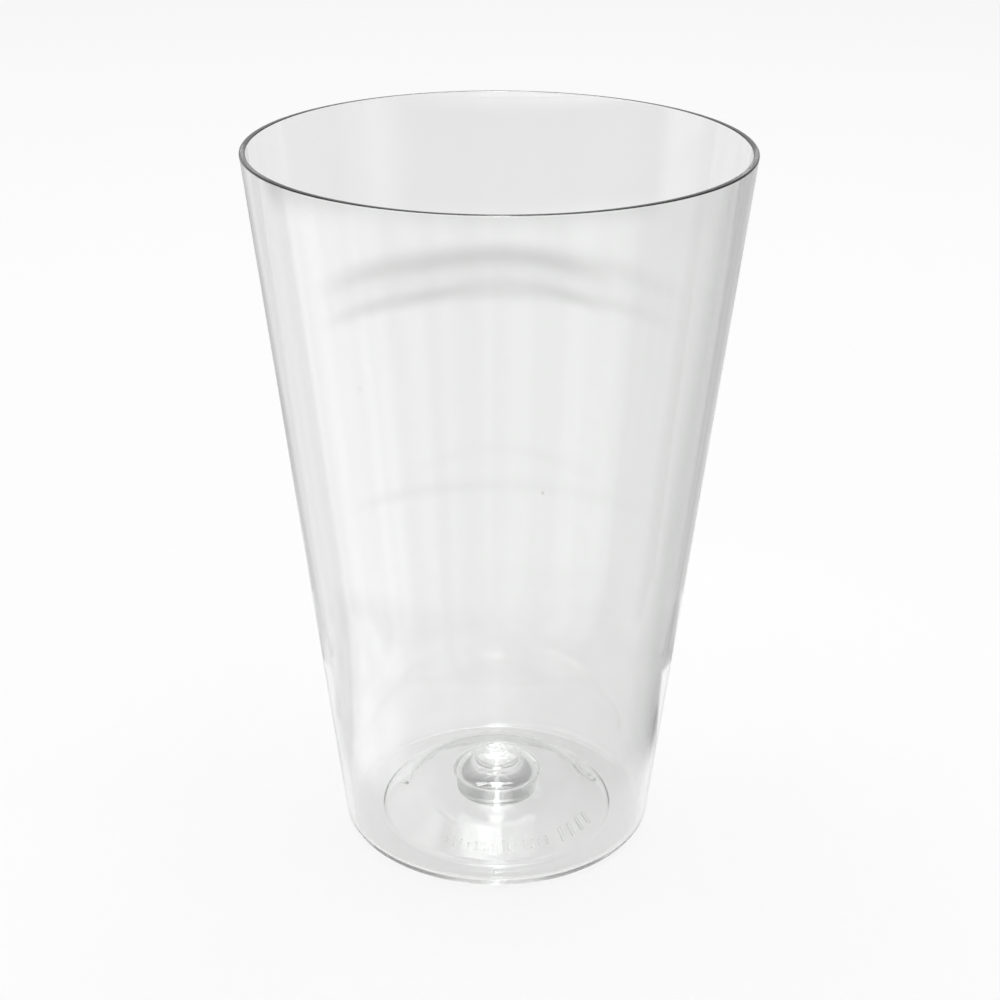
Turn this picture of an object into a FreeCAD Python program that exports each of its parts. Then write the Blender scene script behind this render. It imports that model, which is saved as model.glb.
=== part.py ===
"""Clear plastic tumbler cup, moulded in one piece, standing on its foot ring.

Frame: +Z up, origin at the centre of the foot ring, on the surface that the cup stands on.
Lengths are millimetres. Every section below is a half section, turned about the Z axis.
"""
import FreeCAD, Part
import math
import os

import Sketcher

NODE = "tumbler_cup"

# Driving dimensions: alias, value, what it measures.
SIZES = (
    ("cup_height", 134.0, "table to top of the lip"),
    ("rim_radius", 45.0, "outside, at the lip"),
    ("base_radius", 29.9, "outside, where the line of the wall meets the table"),
    ("rim_wall", 1.1, "wall at the lip"),
    ("base_wall", 1.25, "wall beside the floor"),
    ("lip_land", 0.1, "flat left on top of the lip between its two rounds"),
    ("floor_thick", 1.3, "floor over the foot ring"),
    ("corner_round", 2.4, "outer edge of the foot"),
    ("inner_corner_round", 1.5, "where the wall meets the floor inside"),
    ("foot_inner_radius", 22.7, "where the line of the dome's underside meets the table"),
    ("foot_inner_round", 2.8, "inner edge of the foot ring, up into the dome"),
    ("dome_foot_radius", 22.9, "where the dome meets the floor, inside the cup"),
    ("dome_foot_round", 2.6, "foot of the dome, inside the cup"),
    ("shoulder_radius", 16.0, "shoulder of the dome, where its slope eases"),
    ("shoulder_height", 7.4, "table to the shoulder"),
    ("shoulder_round", 7.0, "shoulder, on top"),
    ("dome_thick", 1.25, "dome, measured upright"),
    ("dome_shift", 0.6, "how much nearer the axis the shoulder lies on the underside"),
    ("boss_root_radius", 6.3, "where the centre boss rises out of the dome"),
    ("boss_root_height", 9.2, "table to that root"),
    ("boss_root_round", 7.0, "root of the boss, swept into the dome"),
    ("boss_height", 11.7, "table to the top of the boss"),
    ("boss_top_radius", 4.3, "boss, at its top"),
    ("boss_top_round", 0.6, "top edge of the boss"),
    ("stub_end_radius", 7.9, "solid stub under the boss, at its lower end"),
    ("stub_draft", 0.2, "how much wider the stub is at its root"),
    ("stub_root_round", 0.4, "root of the stub, on the underside of the dome"),
    ("stub_lift", 3.4, "table to the lower end of the stub, where the moulding gate was"),
    ("stub_end_round", 0.8, "edge of that end"),
)

# Places that follow from the driving dimensions.
WALL_LEAN = "(sizes.rim_radius - sizes.base_radius) / sizes.cup_height"
DOME_FALL = ("(sizes.boss_root_height - sizes.shoulder_height)"
             " / (sizes.shoulder_radius - sizes.boss_root_radius)")
STUB_ROOT = "sizes.stub_end_radius + sizes.stub_draft"
STUB_HEAD = ("sizes.boss_root_height - sizes.dome_thick"
             f" - ({STUB_ROOT} - sizes.boss_root_radius) * {DOME_FALL}")

# Corners of each section: label, radius, height.
OUTER_SECTION = (
    ("foot_centre", "0", "0"),
    ("foot_edge", "sizes.base_radius", "0"),
    ("rim_edge", "sizes.rim_radius", "sizes.cup_height"),
    ("rim_centre", "0", "sizes.cup_height"),
)
CAVITY_SECTION = (
    ("boss_centre", "0", "sizes.boss_height"),
    ("boss_top", "sizes.boss_top_radius", "sizes.boss_height"),
    ("boss_root", "sizes.boss_root_radius", "sizes.boss_root_height"),
    ("shoulder", "sizes.shoulder_radius", "sizes.shoulder_height"),
    ("dome_foot", "sizes.dome_foot_radius", "sizes.floor_thick"),
    ("floor_edge", f"sizes.base_radius + {WALL_LEAN} * sizes.floor_thick - sizes.base_wall",
     "sizes.floor_thick"),
    ("mouth_edge", "sizes.rim_radius - sizes.rim_wall", "sizes.cup_height"),
    ("mouth_centre", "0", "sizes.cup_height"),
)
UNDERSIDE_SECTION = (
    ("stub_centre", "0", "sizes.stub_lift"),
    ("stub_end", "sizes.stub_end_radius", "sizes.stub_lift"),
    ("stub_root", STUB_ROOT, STUB_HEAD),
    ("under_shoulder", "sizes.shoulder_radius - sizes.dome_shift",
     "sizes.shoulder_height - sizes.dome_thick"),
    ("foot_inner", "sizes.foot_inner_radius", "0"),
    ("table_centre", "0", "0"),
)


def make_sheet(doc):
    """The spreadsheet that the sketches and the rounds read."""
    sheet = doc.addObject("Spreadsheet::Sheet", "sizes")
    for line, (alias, value, meaning) in enumerate(SIZES, start=1):
        sheet.set(f"A{line}", alias)
        sheet.set(f"B{line}", str(value))
        sheet.set(f"C{line}", meaning)
        sheet.setAlias(f"B{line}", alias)
    doc.recompute()


def origin_feature(body, role):
    return next(f for f in body.Origin.OriginFeatures if f.Role == role)


def section_sketch(body, name, corners):
    """A closed section on the XZ plane. Its corners start on a circle, and the constraints place them."""
    sketch = body.newObject("Sketcher::SketchObject", name)
    sketch.AttachmentSupport = [(origin_feature(body, "XZ_Plane"), "")]
    sketch.MapMode = "FlatFace"
    step = 2 * math.pi / len(corners)
    starts = [FreeCAD.Vector(math.cos(i * step), math.sin(i * step), 0) for i in range(len(corners))]
    for start, end in zip(starts, starts[1:] + starts[:1]):
        sketch.addGeometry(Part.LineSegment(start, end), False)
    for side, (label, radius, height) in enumerate(corners):
        sketch.addConstraint(Sketcher.Constraint("Coincident", side, 2, (side + 1) % len(corners), 1))
        place(sketch, side, "DistanceX", -2, f"{label}_radius", radius)
        place(sketch, side, "DistanceY", -1, f"{label}_height", height)
    body.Document.recompute()
    return sketch


def place(sketch, side, kind, axis, name, expression):
    """Holds a side's start point on an axis, or at a named distance from the origin."""
    if expression == "0":
        sketch.addConstraint(Sketcher.Constraint("PointOnObject", side, 1, axis))
        return
    index = sketch.addConstraint(Sketcher.Constraint(kind, -1, 1, side, 1, 1.0))
    sketch.renameConstraint(index, name)
    sketch.setExpression(f"Constraints.{name}", expression)


def turn(body, kind, name, sketch):
    """A full turn of a section about the Z axis: Revolution adds to the body, and Groove cuts it."""
    before = 0.0 if body.Shape.isNull() else body.Shape.Volume
    feature = body.newObject(f"PartDesign::{kind}", name)
    feature.Profile = sketch
    feature.ReferenceAxis = (origin_feature(body, "Z_Axis"), [""])
    feature.Angle = 360.0
    body.Document.recompute()
    grown = feature.Shape.Volume - before
    if grown == 0 or (grown > 0) != (kind == "Revolution"):
        raise RuntimeError(f"{name} changes the volume by {grown:.1f} mm3")


def circle_at(shape, corner):
    """The name of the edge that a section's corner drew, by its radius and height."""
    def miss(edge):
        point = edge.valueAt(edge.FirstParameter)
        return math.hypot(math.hypot(point.x, point.y) - corner.x, point.z - corner.y)

    rings = [i for i, edge in enumerate(shape.Edges) if isinstance(edge.Curve, Part.Circle)]
    return f"Edge{min(rings, key=lambda i: miss(shape.Edges[i])) + 1}"


def round_edges(body, name, radius, *corners):
    """Rounds the edges at some corners, all to one radius."""
    base = body.Tip
    fillet = body.newObject("PartDesign::Fillet", name)
    fillet.Base = (base, [circle_at(base.Shape, corner) for corner in corners])
    fillet.setExpression("Radius", radius)
    body.Document.recompute()


def make_tumbler(doc):
    """Outer form, then the hollow above the floor, the relief under it, and the rounded edges."""
    body = doc.addObject("PartDesign::Body", NODE)
    body.Label = NODE
    at = {}
    for kind, name, corners in (
        ("Revolution", "outer_form", OUTER_SECTION),
        ("Groove", "cavity", CAVITY_SECTION),
        ("Groove", "underside", UNDERSIDE_SECTION),
    ):
        sketch = section_sketch(body, f"{name}_section", corners)
        turn(body, kind, name, sketch)
        at.update({row[0]: line.StartPoint for row, line in zip(corners, sketch.Geometry)})

    round_edges(body, "foot_corner", "sizes.corner_round", at["foot_edge"])
    round_edges(body, "floor_corner", "sizes.inner_corner_round", at["floor_edge"])
    round_edges(body, "foot_inner_edge", "sizes.foot_inner_round", at["foot_inner"])
    round_edges(body, "dome_foot_edge", "sizes.dome_foot_round", at["dome_foot"])
    round_edges(body, "shoulder_top", "sizes.shoulder_round", at["shoulder"])
    round_edges(body, "shoulder_underside", "sizes.shoulder_round - sizes.dome_thick", at["under_shoulder"])
    round_edges(body, "boss_root_edge", "sizes.boss_root_round", at["boss_root"])
    round_edges(body, "boss_top_edge", "sizes.boss_top_round", at["boss_top"])
    round_edges(body, "stub_root_edge", "sizes.stub_root_round", at["stub_root"])
    round_edges(body, "stub_end_edge", "sizes.stub_end_round", at["stub_end"])
    round_edges(body, "lip", "(sizes.rim_wall - sizes.lip_land) / 2", at["rim_edge"], at["mouth_edge"])
    return body


def check(doc, body):
    """Stops the build on a failed feature, or on a shape that isn't one sound solid."""
    failed = [o.Label for o in doc.Objects if {"Invalid", "Error"} & set(o.State)]
    if failed:
        raise RuntimeError(f"failed features: {failed}")
    if body.Shape.isNull() or not body.Shape.isValid() or len(body.Shape.Solids) != 1:
        raise RuntimeError(f"{body.Label} isn't one valid solid")


def main():
    doc = FreeCAD.newDocument("tumbler")
    make_sheet(doc)
    tumbler = make_tumbler(doc)
    doc.recompute()
    check(doc, tumbler)
    os.makedirs("parts", exist_ok=True)
    tumbler.Shape.exportStep(os.path.join("parts", f"{tumbler.Label}.step"))
    box = tumbler.Shape.BoundBox
    print(f"{tumbler.Label}: {box.XLength:.2f} x {box.YLength:.2f} x {box.ZLength:.2f} mm, "
          f"from z = {box.ZMin:.3f}, {tumbler.Shape.Volume / 1000:.2f} cm3, "
          f"{len(tumbler.Shape.Faces)} faces")


main()
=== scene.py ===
"""Looks of the clear plastic tumbler.

The moulded cup with its base marks, the finish of its plastic, and a plain studio.
"""
import math

import bmesh
import bpy
from bpy.props import FloatProperty, FloatVectorProperty, IntProperty, PointerProperty
from mathutils import Matrix, Vector


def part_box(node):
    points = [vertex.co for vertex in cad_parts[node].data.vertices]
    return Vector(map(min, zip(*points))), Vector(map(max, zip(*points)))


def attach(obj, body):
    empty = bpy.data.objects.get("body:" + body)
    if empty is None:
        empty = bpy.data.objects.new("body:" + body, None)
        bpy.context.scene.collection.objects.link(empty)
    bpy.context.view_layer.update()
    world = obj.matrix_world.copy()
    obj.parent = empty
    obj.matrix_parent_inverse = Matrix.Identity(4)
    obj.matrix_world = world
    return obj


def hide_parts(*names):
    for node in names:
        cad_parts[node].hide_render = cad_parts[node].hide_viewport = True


bl_info = {
    "name": "Clear plastic tumbler",
    "version": (1, 0, 0),
    "blender": (4, 5, 0),
    "location": "View3D > Sidebar > Tumbler",
    "description": "Models a moulded clear tumbler, its surface and a plain studio",
    "category": "Add Mesh",
}

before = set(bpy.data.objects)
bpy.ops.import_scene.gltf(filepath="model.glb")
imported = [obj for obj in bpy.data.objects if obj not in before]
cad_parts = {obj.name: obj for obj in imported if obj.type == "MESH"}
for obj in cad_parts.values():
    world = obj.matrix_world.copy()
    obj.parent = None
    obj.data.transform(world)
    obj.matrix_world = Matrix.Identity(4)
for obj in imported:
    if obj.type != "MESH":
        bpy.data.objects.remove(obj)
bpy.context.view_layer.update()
NODE = "tumbler_cup"
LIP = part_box(NODE)[1]
MM = 0.001

# How the turned section becomes a mesh.
ARC_STEP = math.radians(9)
RING_STEP = 3.0 * MM
EDGE_HOLD = 0.04 * MM
MERGE = 0.001 * MM
SHARP = math.radians(35)

# Where the base marks stand, as turns about the axis: the front is -90 degrees.
TICKS_AT = math.radians(-90)
BARS_AT = math.radians(-40)
RINGS_AT = math.radians(15)
LEFT_BAR_AT = math.radians(178)

# Features per metre in the patterns of the plastic and the floor, and of the painted streaks in the
# tent's glow.
STREAKS = 260.0
GRAINS = 1100.0
WAVES = 90.0
HAZE_PATCHES = 38.0
SPECK_CELLS = 95.0
FLOOR_MOTTLE = 35.0
TENT_GLOW_STREAKS = 70.0
UP_THE_WALL = (1.0, 1.0, 0.035)
UP_THE_TENT = (1.0, 1.0, 0.02)


def length(name, description, default_mm):
    """A size in metres, given in millimetres."""
    return FloatProperty(
        name=name, description=description, default=default_mm * MM, unit="LENGTH", precision=5,
    )


def angle(name, description, default_degrees):
    """An angle in radians, given in degrees."""
    return FloatProperty(
        name=name, description=description, default=math.radians(default_degrees), subtype="ANGLE",
    )


def colour(name, description, default):
    """A colour with its alpha."""
    return FloatVectorProperty(
        name=name, description=description, default=default, size=4, subtype="COLOR",
        min=0.0, max=1.0,
    )


def number(name, description, default):
    """A plain number."""
    return FloatProperty(name=name, description=description, default=default)


class TumblerShape(bpy.types.PropertyGroup):
    """Sizes of the moulding. The height and the reach of the lip come from the frame."""

    cup_height: length("Height", "Table to top of the lip", LIP.z / MM)
    rim_radius: length("Lip radius", "Outside, at the lip", min(LIP.x, LIP.y) / MM + 0.02)
    base_radius: length("Base radius", "Outside, where the wall's line meets the table", 29.9)
    rim_wall: length("Lip wall", "Wall at the lip", 1.1)
    base_wall: length("Base wall", "Wall beside the floor", 1.25)
    lip_land: length("Lip land", "Flat left on top of the lip", 0.55)
    floor_thick: length("Floor", "Thickness over the foot ring", 1.3)
    corner_round: length("Foot corner", "Round of the outer edge of the foot", 2.4)
    inner_corner_round: length("Floor corner", "Round where the wall meets the floor", 1.5)
    foot_inner_radius: length("Foot inside", "Where the dome's underside meets the table", 22.7)
    foot_inner_round: length("Foot inner round", "Inner edge of the foot ring", 1.4)
    dome_foot_radius: length("Dome foot", "Where the dome meets the floor inside", 22.9)
    dome_foot_round: length("Dome foot round", "Foot of the dome inside", 2.6)
    shoulder_radius: length("Shoulder", "Radius where the dome's slope eases", 16.0)
    shoulder_height: length("Shoulder height", "Table to the shoulder", 7.4)
    shoulder_round: length("Shoulder round", "Shoulder, on top", 7.0)
    dome_thick: length("Dome", "Thickness, measured upright", 1.25)
    dome_shift: length("Dome shift", "How much nearer the axis the shoulder lies below", 0.6)
    boss_root_radius: length("Boss root", "Where the boss rises out of the dome", 6.3)
    boss_root_height: length("Boss root height", "Table to that root", 9.2)
    boss_root_round: length("Boss root round", "Sweep of that root into the dome", 7.0)
    boss_height: length("Boss height", "Table to the top of the boss", 11.7)
    boss_top_radius: length("Boss top", "Radius of the boss at its top", 4.3)
    boss_top_round: length("Boss top round", "Round of its top edge", 0.6)
    stub_end_radius: length("Stub", "Radius of the solid stub's lower end", 7.9)
    stub_draft: length("Stub draft", "How much wider its root is", 0.2)
    stub_root_round: length("Stub root round", "Root of the stub", 0.4)
    stub_lift: length("Stub lift", "Table to the lower end of the stub", 3.4)
    stub_end_round: length("Stub end round", "Edge of that end", 0.8)
    segments: IntProperty(name="Segments", description="Faces round the cup", default=256, min=32)


class BaseMarks(bpy.types.PropertyGroup):
    """Plain moulded ticks, bars and rings on the underside of the dome."""

    relief: length("Relief", "How far a mark stands out of the surface", 0.3)
    tick_length: length("Tick length", "Small ticks at the front, along the slope", 1.6)
    tick_width: length("Tick width", "Small ticks at the front", 0.45)
    tick_count: IntProperty(name="Ticks", description="Small ticks at the front", default=14, min=2)
    tick_spread: angle("Tick spread", "From the first small tick to the last", 58.0)
    bar_length: length("Bar length", "Longer bars at the side, along the slope", 2.7)
    bar_width: length("Bar width", "Longer bars at the side", 0.6)
    bar_count: IntProperty(name="Bars", description="Longer bars at the side", default=4, min=2)
    bar_spread: angle("Bar spread", "From the first longer bar to the last", 22.0)
    ring_radius: length("Ring", "Radius of the plain ring mark", 2.5)
    ring_wire: length("Ring wire", "Radius of the ring's section", 0.3)


class TumblerFinish(bpy.types.PropertyGroup):
    """Look of the plastic."""

    tint: colour("Tint", "Light that one wall lets through", (0.885, 0.89, 0.885, 1.0))
    dust: colour("Dust", "Colour of dust and specks", (0.35, 0.34, 0.33, 1.0))
    refraction: number("Refraction", "Index of polystyrene", 1.59)
    gloss: number("Roughness", "Roughness of the clean surface", 0.012)
    haze: number("Haze", "Roughness that handling adds in patches", 0.03)
    streak_depth: length("Streak depth", "Flow streaks up the wall", 0.004)
    grain_depth: length("Grain depth", "Fine grain of the moulded dome", 0.006)


class StudioSettings(bpy.types.PropertyGroup):
    """Camera and light, measured from the cup's axis."""

    camera_distance: length("Camera distance", "In front of the axis", 330.2)
    camera_height: length("Camera height", "Above the table", 214.0)
    camera_pitch: angle("Pitch", "Down from level", 24.05)
    camera_roll: angle("Roll", "Turn about the view", 0.27)
    focal: number("Focal", "Focal length over frame width", 1.926)
    air_gap: length("Air gap", "Thin air between the foot ring and the floor", 0.1)
    mat_radius: length("Mat radius", "Inner edge of the sheet that the cup mirrors", 38.0)
    tent_radius: length("Tent radius", "Where that sheet turns up", 105.0)
    tent_height: length("Tent height", "Top of that tent", 160.0)
    rail_fall: length("Rail fall", "How much lower the dark rails lie beside the cup", 14.0)
    floor: colour("Floor", "Plain pale floor", (0.86, 0.86, 0.86, 1.0))
    floor_white: number("Floor white", "Share of plain white in view", 0.8)
    bounces: IntProperty(name="Bounces", description="Light caught in the wall", default=40, min=8)


def corner(radius, height, rounding=0.0):
    """A corner of the half section: a place on the XZ plane, and the radius that rounds it."""
    return Vector((radius, 0.0, height)), rounding


def cup_section(s):
    """Corners of the half section, from the stub under the cup to the top of the boss."""
    lean = (s.rim_radius - s.base_radius) / s.cup_height
    lip_round = (s.rim_wall - s.lip_land) / 2
    dome_rise = s.boss_root_height - s.shoulder_height
    dome_fall = dome_rise / (s.shoulder_radius - s.boss_root_radius)
    stub_root = s.stub_end_radius + s.stub_draft
    stub_head = s.boss_root_height - s.dome_thick - (stub_root - s.boss_root_radius) * dome_fall
    floor_edge = s.base_radius + lean * s.floor_thick - s.base_wall
    return [
        corner(0.0, s.stub_lift),
        corner(s.stub_end_radius, s.stub_lift, s.stub_end_round),
        corner(stub_root, stub_head, s.stub_root_round),
        corner(*under_shoulder(s), s.shoulder_round - s.dome_thick),
        corner(s.foot_inner_radius, 0.0, s.foot_inner_round),
        corner(s.base_radius, 0.0, s.corner_round),
        corner(s.rim_radius, s.cup_height, lip_round),
        corner(s.rim_radius - s.rim_wall, s.cup_height, lip_round),
        corner(floor_edge, s.floor_thick, s.inner_corner_round),
        corner(s.dome_foot_radius, s.floor_thick, s.dome_foot_round),
        corner(s.shoulder_radius, s.shoulder_height, s.shoulder_round),
        corner(s.boss_root_radius, s.boss_root_height, s.boss_root_round),
        corner(s.boss_top_radius, s.boss_height, s.boss_top_round),
        corner(0.0, s.boss_height),
    ]


def under_shoulder(s):
    """Radius and height of the dome's shoulder on the underside."""
    return s.shoulder_radius - s.dome_shift, s.shoulder_height - s.dome_thick


def arc_points(before, at, after, radius):
    """Points of the arc of that radius which touches both sides of a corner."""
    to_before, to_after = (before - at).normalized(), (after - at).normalized()
    half = to_before.angle(to_after) / 2
    centre = at + (to_before + to_after).normalized() * radius / math.sin(half)
    start = at + to_before * radius / math.tan(half)
    sweep = math.pi - 2 * half
    steps = max(3, math.ceil(sweep / ARC_STEP))
    spoke = start - centre
    axis = spoke.cross(at - centre)
    return [centre + Matrix.Rotation(sweep * i / steps, 3, axis) @ spoke for i in range(steps + 1)]


def rounded_line(corners):
    """The section's points: an arc at each rounded corner, and rings along the straights."""
    arcs = [[at] for at, _ in corners]
    for i, (at, radius) in enumerate(corners):
        if radius:
            arcs[i] = arc_points(corners[i - 1][0], at, corners[i + 1][0], radius)
    points = list(arcs[0])
    for arc in arcs[1:]:
        start, end = points[-1], arc[0]
        run = (end - start).length
        if run > 4 * EDGE_HOLD:
            along = (end - start).normalized()
            inner = run - 2 * EDGE_HOLD
            rings = max(1, math.ceil(inner / RING_STEP))
            points += [start + along * (EDGE_HOLD + inner * i / rings) for i in range(rings + 1)]
        points += arc
    return points


def start_vertex(name, place):
    """A new mesh in edit mode, with one selected vertex at a place."""
    bpy.ops.object.select_all(action="DESELECT")
    bpy.ops.mesh.primitive_plane_add(size=MM, location=(0, 0, 0))
    piece = bpy.context.object
    piece.name = name
    piece.data.name = name
    bpy.ops.object.mode_set(mode="EDIT")
    bpy.ops.mesh.merge(type="CENTER")
    bpy.ops.transform.translate(value=place)
    return piece


def turned(name, points, segments):
    """The section's points extruded one after the other, then spun about the axis."""
    piece = start_vertex(name, points[0])
    for here, there in zip(points, points[1:]):
        bpy.ops.mesh.extrude_vertices_move(TRANSFORM_OT_translate={"value": there - here})
    bpy.ops.mesh.select_all(action="SELECT")
    bpy.ops.mesh.spin(steps=segments, angle=math.tau, center=(0, 0, 0), axis=(0, 0, 1))
    bpy.ops.mesh.select_all(action="SELECT")
    bpy.ops.mesh.remove_doubles(threshold=MERGE)
    bpy.ops.mesh.normals_make_consistent(inside=False)
    bpy.ops.object.mode_set(mode="OBJECT")
    return piece


def add_node(tree, kind, settings=None, **inputs):
    """A node with its settings. An input is a value or another node's output.

    An input's name has _ for a space, and i with a number is that input's place.
    """
    node = tree.nodes.new(kind)
    for name, value in (settings or {}).items():
        setattr(node, name, value)
    for name, value in inputs.items():
        socket = node.inputs[int(name[1:]) if name[1:].isdigit() else name.replace("_", " ")]
        if isinstance(value, bpy.types.NodeSocket):
            tree.links.new(value, socket)
        else:
            socket.default_value = value
    return node


def math_node(tree, operation, *values, clamp=False):
    """A sum, product or other reckoning with numbers."""
    inputs = {f"i{place}": value for place, value in enumerate(values)}
    settings = {"operation": operation, "use_clamp": clamp}
    return add_node(tree, "ShaderNodeMath", settings, **inputs).outputs["Value"]


def ramp_between(tree, value, low, high, low_gives=0.0, high_gives=1.0):
    """A smooth change from one number to another while a value goes from low to high."""
    node = add_node(
        tree, "ShaderNodeMapRange", {"interpolation_type": "SMOOTHSTEP"},
        Value=value, From_Min=low, From_Max=high, To_Min=low_gives, To_Max=high_gives,
    )
    return node.outputs["Result"]


def noise(tree, place, scale, detail, stretch=(1.0, 1.0, 1.0)):
    """Noise with features of about 1/scale metres, stretched along the axes."""
    mapped = add_node(tree, "ShaderNodeMapping", Vector=place, Scale=stretch).outputs["Vector"]
    node = add_node(tree, "ShaderNodeTexNoise", Vector=mapped, Scale=scale, Detail=detail)
    return node.outputs["Fac"]


def from_the_axis(tree, split):
    """Distance from the cup's axis, from the split coordinates of a place."""
    squares = [math_node(tree, "MULTIPLY", split[way], split[way]) for way in ("X", "Y")]
    return math_node(tree, "SQRT", math_node(tree, "ADD", *squares))


def new_material(name):
    """A material with nodes. One that glows is met by rays, and is no lamp."""
    material = bpy.data.materials.new(name)
    material.use_nodes = True
    material.cycles.emission_sampling = "NONE"
    return material, material.node_tree


def clear_plastic(finish, shape):
    """Clear moulded polystyrene: flow streaks, a grained dome, light haze and a few specks."""
    material, tree = new_material("clear_plastic")
    shader = tree.nodes["Principled BSDF"]
    place = add_node(tree, "ShaderNodeTexCoord").outputs["Object"]
    split = add_node(tree, "ShaderNodeSeparateXYZ", Vector=place).outputs
    from_axis = from_the_axis(tree, split)
    foot, top = shape.dome_foot_radius, shape.boss_height
    dome = math_node(
        tree, "MULTIPLY", ramp_between(tree, from_axis, foot - 1.0 * MM, foot, 1.0, 0.0),
        ramp_between(tree, split["Z"], top, top + 1.0 * MM, 1.0, 0.0),
    )

    streaks = noise(tree, place, STREAKS, 1.0, UP_THE_WALL)
    grain = noise(tree, place, GRAINS, 1.0)
    wave = noise(tree, place, WAVES, 0.0)
    wall_depth = ramp_between(tree, dome, 0.0, 1.0, finish.streak_depth, 0.0)
    dome_depth = ramp_between(tree, dome, 0.0, 1.0, 0.0, finish.grain_depth)
    height = math_node(
        tree, "ADD",
        math_node(tree, "MULTIPLY", math_node(tree, "ADD", streaks, wave), wall_depth),
        math_node(tree, "MULTIPLY", grain, dome_depth),
    )
    bump = add_node(tree, "ShaderNodeBump", Strength=1.0, Distance=1.0, Height=height)

    smudges = noise(tree, place, HAZE_PATCHES, 2.0)
    patches = ramp_between(tree, smudges, 0.5, 0.75, 0.0, finish.haze)
    dome_haze = ramp_between(tree, dome, 0.0, 1.0, finish.gloss, finish.gloss + 0.5 * finish.haze)
    roughness = math_node(tree, "ADD", patches, dome_haze)

    cells = add_node(tree, "ShaderNodeTexVoronoi", Vector=place, Scale=SPECK_CELLS)
    lot = add_node(tree, "ShaderNodeSeparateColor", Color=cells.outputs["Color"]).outputs["Red"]
    chosen = ramp_between(tree, lot, 0.86, 0.88)
    speck = ramp_between(tree, cells.outputs["Distance"], 0.018, 0.03, 1.0, 0.0)
    dusted = add_node(
        tree, "ShaderNodeMix", {"data_type": "RGBA"},
        Factor=math_node(tree, "MULTIPLY", chosen, speck), i6=finish.tint, i7=finish.dust,
    )

    tree.links.new(dusted.outputs[2], shader.inputs["Base Color"])
    tree.links.new(roughness, shader.inputs["Roughness"])
    tree.links.new(bump.outputs["Normal"], shader.inputs["Normal"])
    shader.inputs["IOR"].default_value = finish.refraction
    shader.inputs["Transmission Weight"].default_value = 1.0
    return material


class TUMBLER_OT_cup(bpy.types.Operator):
    """Model the moulded cup in place of the plain CAD solid"""

    bl_idname = "tumbler.cup"
    bl_label = "Moulded cup"
    bl_options = {"REGISTER", "UNDO"}

    def execute(self, context):
        shape = context.scene.tumbler_shape
        cup = turned("moulded_cup", rounded_line(cup_section(shape)), shape.segments)
        cup.data.materials.append(clear_plastic(context.scene.tumbler_finish, shape))
        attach(cup, "root")
        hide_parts(NODE)
        return {"FINISHED"}


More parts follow.
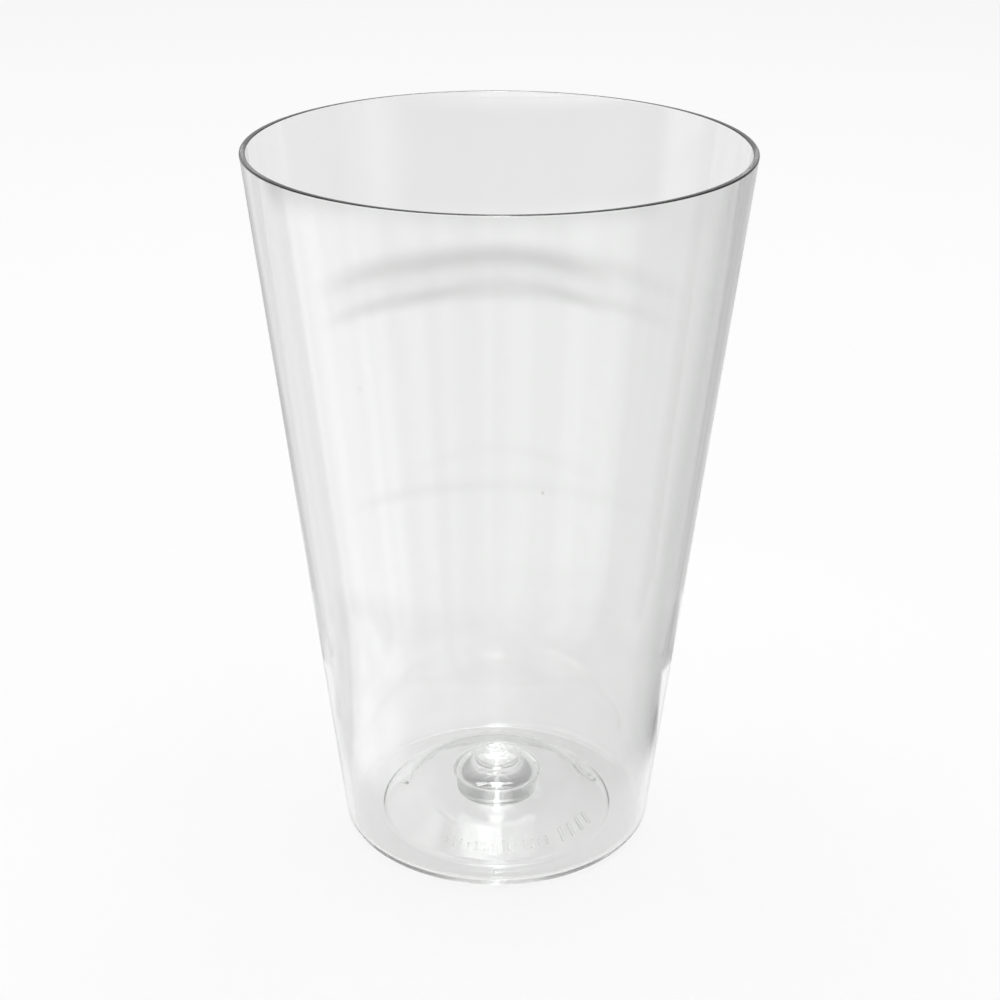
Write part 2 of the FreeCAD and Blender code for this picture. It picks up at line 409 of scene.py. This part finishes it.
class TUMBLER_OT_base_marks(bpy.types.Operator):
    """Add plain moulded ticks, bars and rings to the underside of the dome"""

    bl_idname = "tumbler.base_marks"
    bl_label = "Base marks"
    bl_options = {"REGISTER", "UNDO"}

    def execute(self, context):
        cup = bpy.data.objects["moulded_cup"]
        marks = self.marks(context.scene.tumbler_marks, context.scene.tumbler_shape)
        bpy.ops.object.select_all(action="DESELECT")
        for mark in marks:
            mark.select_set(True)
        context.view_layer.objects.active = marks[0]
        bpy.ops.object.join()
        joined = context.object
        self.unite(context, cup, joined)
        bpy.ops.object.select_all(action="DESELECT")
        cup.select_set(True)
        bpy.ops.object.shade_smooth_by_angle(angle=SHARP)
        return {"FINISHED"}

    def marks(self, m, s):
        """Ticks at the front, bars at the right, two rings behind them and a bar at the left."""
        middle = s.foot_inner_radius - 3.2 * MM
        high = s.foot_inner_radius - 4.6 * MM
        marks = []
        for i in range(m.tick_count):
            turn = TICKS_AT + m.tick_spread * (i / (m.tick_count - 1) - 0.5)
            long = m.tick_length * (1.0 if i % 3 else 0.6)
            marks.append(self.bar(s, turn, middle, long, m.tick_width, m.relief))
        for i in range(m.bar_count):
            turn = BARS_AT + m.bar_spread * (i / (m.bar_count - 1) - 0.5)
            marks.append(self.bar(s, turn, middle, m.bar_length, m.bar_width, m.relief, 8))
        for size in (m.ring_radius, 0.45 * m.ring_radius):
            marks.append(self.ring(s, RINGS_AT, high, size, m.ring_wire, m.relief))
        long = 1.3 * m.bar_length
        marks.append(self.bar(s, LEFT_BAR_AT, high, long, m.bar_width, m.relief, 50))
        return marks

    def surface(self, s, turn, radius):
        """Frame on the slope of the underside: X runs up the slope, Z points out of the plastic."""
        top_radius, top_height = under_shoulder(s)
        slope = math.atan2(top_height, s.foot_inner_radius - top_radius)
        height = (s.foot_inner_radius - radius) * math.tan(slope)
        tilt = Matrix.Rotation(math.pi + slope, 4, "Y")
        return Matrix.Rotation(turn, 4, "Z") @ Matrix.Translation((radius, 0, height)) @ tilt

    def bar(self, s, turn, radius, long, wide, relief, skew=0.0):
        """A straight bar with rounded edges, half sunk in the plastic."""
        bpy.ops.object.select_all(action="DESELECT")
        bpy.ops.mesh.primitive_cube_add(size=1.0, location=(0, 0, 0))
        bpy.ops.object.mode_set(mode="EDIT")
        bpy.ops.transform.resize(value=(long, wide, 2 * relief))
        bpy.ops.mesh.bevel(offset=0.4 * relief, segments=3, affect="EDGES")
        bpy.ops.object.mode_set(mode="OBJECT")
        bar = bpy.context.object
        aslant = Matrix.Rotation(math.radians(skew), 4, "Z")
        bar.data.transform(self.surface(s, turn, radius) @ aslant)
        return bar

    def ring(self, s, turn, radius, size, wire, relief):
        """A plain ring, partly sunk in the plastic."""
        bpy.ops.object.select_all(action="DESELECT")
        bpy.ops.mesh.primitive_torus_add(
            location=(0, 0, 0), major_radius=size, minor_radius=wire,
            major_segments=48, minor_segments=10,
        )
        ring = bpy.context.object
        sink = Matrix.Translation((0, 0, relief - wire))
        ring.data.transform(self.surface(s, turn, radius) @ sink)
        return ring

    def unite(self, context, cup, marks):
        """Melts the marks into the cup."""
        before = len(cup.data.polygons)
        context.view_layer.objects.active = cup
        join = cup.modifiers.new("marks", "BOOLEAN")
        join.operation = "UNION"
        join.solver = "EXACT"
        join.object = marks
        bpy.ops.object.modifier_apply(modifier=join.name)
        bpy.data.meshes.remove(marks.data)
        if len(cup.data.polygons) <= before:
            raise RuntimeError("the marks were not added to the cup")


class TUMBLER_OT_studio(bpy.types.Operator):
    """Set up the floor, the tent, the lamps and the camera"""

    bl_idname = "tumbler.studio"
    bl_label = "Studio"
    bl_options = {"REGISTER", "UNDO"}

    def execute(self, context):
        s = context.scene.tumbler_studio
        self.floor(s)
        self.tent(s)
        self.lamps()
        self.camera(context, s)
        self.world(context)
        context.scene.view_settings.view_transform = "Standard"
        cycles = context.scene.cycles
        cycles.blur_glossy = 0.0
        for limit in ("max_bounces", "glossy_bounces", "transmission_bounces"):
            setattr(cycles, limit, s.bounces)
        return {"FINISHED"}

    def floor(self, s):
        """Pale sheet with a faint mottle."""
        bpy.ops.object.select_all(action="DESELECT")
        bpy.ops.mesh.primitive_circle_add(
            vertices=96, radius=4.0, fill_type="NGON", location=(0, 0, -s.air_gap),
        )
        floor = bpy.context.object
        floor.name = "studio_floor"
        material, tree = new_material("studio_floor")
        shader = tree.nodes["Principled BSDF"]
        place = add_node(tree, "ShaderNodeTexCoord").outputs["Object"]
        mottle = noise(tree, place, FLOOR_MOTTLE, 2.0)
        shade = add_node(
            tree, "ShaderNodeMix", {"data_type": "RGBA"},
            Factor=ramp_between(tree, mottle, 0.3, 0.7, 0.0, 0.03),
            i6=s.floor, i7=(0.7, 0.7, 0.7, 1.0),
        )
        tree.links.new(shade.outputs[2], shader.inputs["Base Color"])
        tree.links.new(ramp_between(tree, mottle, 0.3, 0.7, 0.5, 0.65), shader.inputs["Roughness"])
        shader.inputs["Specular IOR Level"].default_value = 0.2

        ray = add_node(tree, "ShaderNodeLightPath").outputs
        seen = math_node(
            tree, "ADD", ray["Is Camera Ray"],
            math_node(tree, "ADD", ray["Is Glossy Ray"], ray["Is Transmission Ray"]), clamp=True,
        )
        white = add_node(tree, "ShaderNodeEmission", Strength=1.0)
        mix = add_node(
            tree, "ShaderNodeMixShader", i0=math_node(tree, "MULTIPLY", seen, s.floor_white),
            i1=shader.outputs["BSDF"], i2=white.outputs["Emission"],
        )
        tree.links.new(mix.outputs["Shader"], tree.nodes["Material Output"].inputs["Surface"])
        floor.data.materials.append(material)

    def lamp(self, name, place, aim, size, power):
        """A soft lamp that the cup doesn't mirror."""
        data = bpy.data.lights.new(name, "AREA")
        data.shape = "RECTANGLE"
        data.size, data.size_y = size
        data.energy = power
        lamp = bpy.data.objects.new(name, data)
        bpy.context.scene.collection.objects.link(lamp)
        lamp.location = place
        lamp.rotation_euler = (Vector(aim) - Vector(place)).to_track_quat("-Z", "Y").to_euler()
        lamp.visible_glossy = lamp.visible_transmission = False
        return lamp

    def glow(self, name, piece, build):
        """Makes a piece glow, and show only in mirror images and through clear plastic.

        build(tree) gives the glow's strength and its cover.
        """
        for way in ("camera", "diffuse", "volume_scatter", "shadow"):
            setattr(piece, f"visible_{way}", False)
        material, tree = new_material(name)
        tree.nodes.remove(tree.nodes["Principled BSDF"])
        strength, cover = build(tree)
        light = add_node(tree, "ShaderNodeEmission", Strength=strength)
        clear = add_node(tree, "ShaderNodeBsdfTransparent")
        mix = add_node(
            tree, "ShaderNodeMixShader", i0=cover,
            i1=clear.outputs["BSDF"], i2=light.outputs["Emission"],
        )
        tree.links.new(mix.outputs["Shader"], tree.nodes["Material Output"].inputs["Surface"])
        piece.data.materials.append(material)

    def board(self, name, place, aim, size, radiance, edge=0.12):
        """A glowing board with soft edges."""
        bpy.ops.object.select_all(action="DESELECT")
        bpy.ops.mesh.primitive_plane_add(size=1.0, location=(0, 0, 0))
        board = bpy.context.object
        board.name = name
        turn = (Vector(aim) - Vector(place)).to_track_quat("Z", "Y").to_matrix().to_4x4()
        scale = Matrix.Diagonal((size[0], size[1], 1.0, 1.0))
        board.data.transform(Matrix.Translation(place) @ turn @ scale)

        def soft(tree):
            flat = add_node(tree, "ShaderNodeTexCoord").outputs["UV"]
            split = add_node(tree, "ShaderNodeSeparateXYZ", Vector=flat).outputs
            sides = []
            for way in ("X", "Y"):
                offset = math_node(tree, "SUBTRACT", split[way], 0.5)
                from_middle = math_node(tree, "ABSOLUTE", offset)
                sides.append(ramp_between(tree, from_middle, 0.5 - edge, 0.5, 1.0, 0.0))
            return radiance, math_node(tree, "MULTIPLY", *sides)

        self.glow(name, board, soft)
        return board

    def tent(self, s):
        """Glowing sheet under and round the front and sides of the cup, open at the back. It shows
        only in mirror images and through clear plastic, and its glow has painted streaks.
        """
        low = 0.5 * MM
        r = s.tent_radius
        line = [Vector((radius, 0.0, low)) for radius in (s.mat_radius, 0.7 * r, r)]
        tent = turned("tent", line + [Vector((r, 0.0, s.tent_height))], 96)
        opening = r * math.sin(math.radians(52))
        bpy.ops.object.mode_set(mode="EDIT")
        mesh = bmesh.from_edit_mesh(tent.data)
        for face in mesh.faces:
            middle = face.calc_center_median()
            flat = middle.z < 2 * low
            behind_cup = middle.y > 5 * MM and abs(middle.x) < 45 * MM + 0.2 * middle.y
            face.select_set(middle.y > opening or (flat and behind_cup))
        bmesh.update_edit_mesh(tent.data)
        bpy.ops.mesh.delete(type="FACE")
        bpy.ops.object.mode_set(mode="OBJECT")

        # Brightness at each turn, from the left (-180 degrees) by the front (-90), the right (0)
        # and the back (90) to the left again. The tent's left side is the brighter one.
        brightest = 2.5
        round_the_cup = (
            (-180, 1.5), (-168, 2.1), (-150, 2.3), (-125, 1.7), (-90, 1.4), (-65, 0.95), (-40, 0.8),
            (-15, 0.75), (0, 0.5), (12, 0.32), (35, 0.55), (52, 0.6), (128, 0.6), (160, 1.0),
        )
        # Darkness at each share of the tent's height: a broad band near the top, and thin rails.
        up_the_wall = ((0.0, 0.2), (0.05, 0.0), (0.6, 0.0), (0.67, 0.9), (0.81, 0.9), (0.85, 0.0))
        rails = (
            (0.225, 0.0), (0.24, 0.3), (0.255, 0.0), (0.51, 0.0), (0.53, 0.85), (0.545, 0.25),
            (0.556, 0.3), (0.576, 0.95), (0.606, 0.0),
        )

        def walls(tree):
            place = add_node(tree, "ShaderNodeTexCoord").outputs["Object"]
            split = add_node(tree, "ShaderNodeSeparateXYZ", Vector=place).outputs
            turn = math_node(tree, "ARCTAN2", split["Y"], split["X"])
            around = ramp_of(
                tree, math_node(tree, "ADD", math_node(tree, "DIVIDE", turn, math.tau), 0.5),
                [((degrees + 180) / 360, value / brightest) for degrees, value in round_the_cup],
            )
            in_front = math_node(
                tree, "MULTIPLY", ramp_between(tree, split["Y"], 0.1 * r, 0.35 * r, 1.0, 0.0),
                ramp_between(tree, split["X"], 0.8 * r, 0.97 * r, 1.0, 0.0),
            )
            top = math_node(
                tree, "MULTIPLY", in_front,
                ramp_of(tree, math_node(tree, "DIVIDE", split["Z"], s.tent_height), up_the_wall),
            )
            backwards = math_node(tree, "MULTIPLY_ADD", split["Y"], s.rail_fall / r, s.rail_fall)
            height = math_node(tree, "ADD", split["Z"], backwards)
            rail = math_node(
                tree, "MULTIPLY",
                ramp_of(tree, math_node(tree, "DIVIDE", height, s.tent_height), rails),
                ramp_between(tree, split["Y"], -0.9 * r, -0.1 * r, 1.0, 0.0),
            )
            # Painted light: the tent's glow is made a little brighter and a little darker in
            # upright streaks, which the cup's wall shows.
            streak_noise = noise(tree, place, TENT_GLOW_STREAKS, 1.0, UP_THE_TENT)
            painted_streaks = ramp_between(tree, streak_noise, 0.3, 0.7, brightest - 0.2, brightest + 0.2)
            strength = around
            for dark in (top, rail):
                light = math_node(tree, "SUBTRACT", 1.0, dark)
                strength = math_node(tree, "MULTIPLY", strength, light)
            strength = math_node(tree, "MULTIPLY", strength, painted_streaks)
            outwards = from_the_axis(tree, split)
            return strength, ramp_between(tree, outwards, s.mat_radius, s.mat_radius + 18 * MM)

        self.glow("tent", tent, walls)

    def lamps(self):
        """One lamp for the floor and its shadow, and the boards that the plastic mirrors."""
        self.lamp("overhead_softbox", (0.0, 0.15, 1.1), (0.0, 0.05, 0.0), (1.2, 1.0), 10.0)
        centre = (0.0, 0.0, 0.0)
        self.board("spot_panel", (-0.002, 1.25, 0.771), centre, (0.03, 0.011), 9.0, 0.15)
        self.board("core_strip", (0.0, 0.57, 0.68), centre, (0.03, 0.36), 15.0, 0.3)
        self.board("back_strip", (0.0, 0.58, 0.69), centre, (0.19, 0.42), 3.5, 0.3)
        self.board("top_strip", (0.0, 0.0, 0.95), centre, (0.19, 0.9), 4.0, 0.3)
        self.board("front_panel", (-0.179, -0.369, 0.803), centre, (0.52, 0.11), 6.0, 0.03)

    def camera(self, context, s):
        """The photograph's view, from in front of the cup and above it."""
        data = bpy.data.cameras.new("camera")
        data.sensor_width = 36.0
        data.lens = data.sensor_width * s.focal
        camera = bpy.data.objects.new("camera", data)
        context.scene.collection.objects.link(camera)
        camera.location = (0.0004, -s.camera_distance, s.camera_height)
        pitch = Matrix.Rotation(math.pi / 2 - s.camera_pitch, 3, "X")
        camera.rotation_euler = (pitch @ Matrix.Rotation(s.camera_roll, 3, "Z")).to_euler()
        data.clip_start = 0.01
        context.scene.camera = camera

    def world(self, context):
        """Pale air all round, a little darker overhead."""
        world = bpy.data.worlds.new("studio_air")
        world.use_nodes = True
        tree = world.node_tree
        way = add_node(tree, "ShaderNodeTexCoord").outputs["Generated"]
        rise = add_node(tree, "ShaderNodeSeparateXYZ", Vector=way).outputs["Z"]
        background = tree.nodes["Background"]
        background.inputs["Color"].default_value = (0.8, 0.8, 0.8, 1.0)
        strength = ramp_between(tree, rise, 0.1, 0.8, 0.95, 0.45)
        tree.links.new(strength, background.inputs["Strength"])
        context.scene.world = world


def ramp_of(tree, value, stops):
    """A grey ramp through (place, brightness) stops."""
    node = add_node(tree, "ShaderNodeValToRGB", Fac=value)
    ramp = node.color_ramp
    ramp.interpolation = "EASE"
    for place, _ in stops[2:]:
        ramp.elements.new(place)
    for element, (place, grey) in zip(ramp.elements, stops):
        element.position = place
        element.color = (grey, grey, grey, 1.0)
    return node.outputs["Color"]


class TUMBLER_PT_sidebar(bpy.types.Panel):
    """Tumbler pieces and settings"""

    bl_idname = "TUMBLER_PT_sidebar"
    bl_label = "Tumbler"
    bl_space_type = "VIEW_3D"
    bl_region_type = "UI"
    bl_category = "Tumbler"

    def draw(self, context):
        layout = self.layout
        for name in SETTINGS:
            settings = getattr(context.scene, name)
            box = layout.box()
            for size in settings.__annotations__:
                box.prop(settings, size)
        for operator in OPERATORS:
            layout.operator(operator.bl_idname)


SETTINGS = {
    "tumbler_shape": TumblerShape,
    "tumbler_marks": BaseMarks,
    "tumbler_finish": TumblerFinish,
    "tumbler_studio": StudioSettings,
}
OPERATORS = (TUMBLER_OT_studio, TUMBLER_OT_cup, TUMBLER_OT_base_marks)
CLASSES = (*SETTINGS.values(), *OPERATORS, TUMBLER_PT_sidebar)


def register():
    for cls in CLASSES:
        bpy.utils.register_class(cls)
    for name, cls in SETTINGS.items():
        setattr(bpy.types.Scene, name, PointerProperty(type=cls))


def unregister():
    for name in SETTINGS:
        delattr(bpy.types.Scene, name)
    for cls in reversed(CLASSES):
        bpy.utils.unregister_class(cls)


def main():
    register()
    bpy.ops.tumbler.studio()
    bpy.ops.tumbler.cup()
    bpy.ops.tumbler.base_marks()


if __name__ == "__main__":
    main()
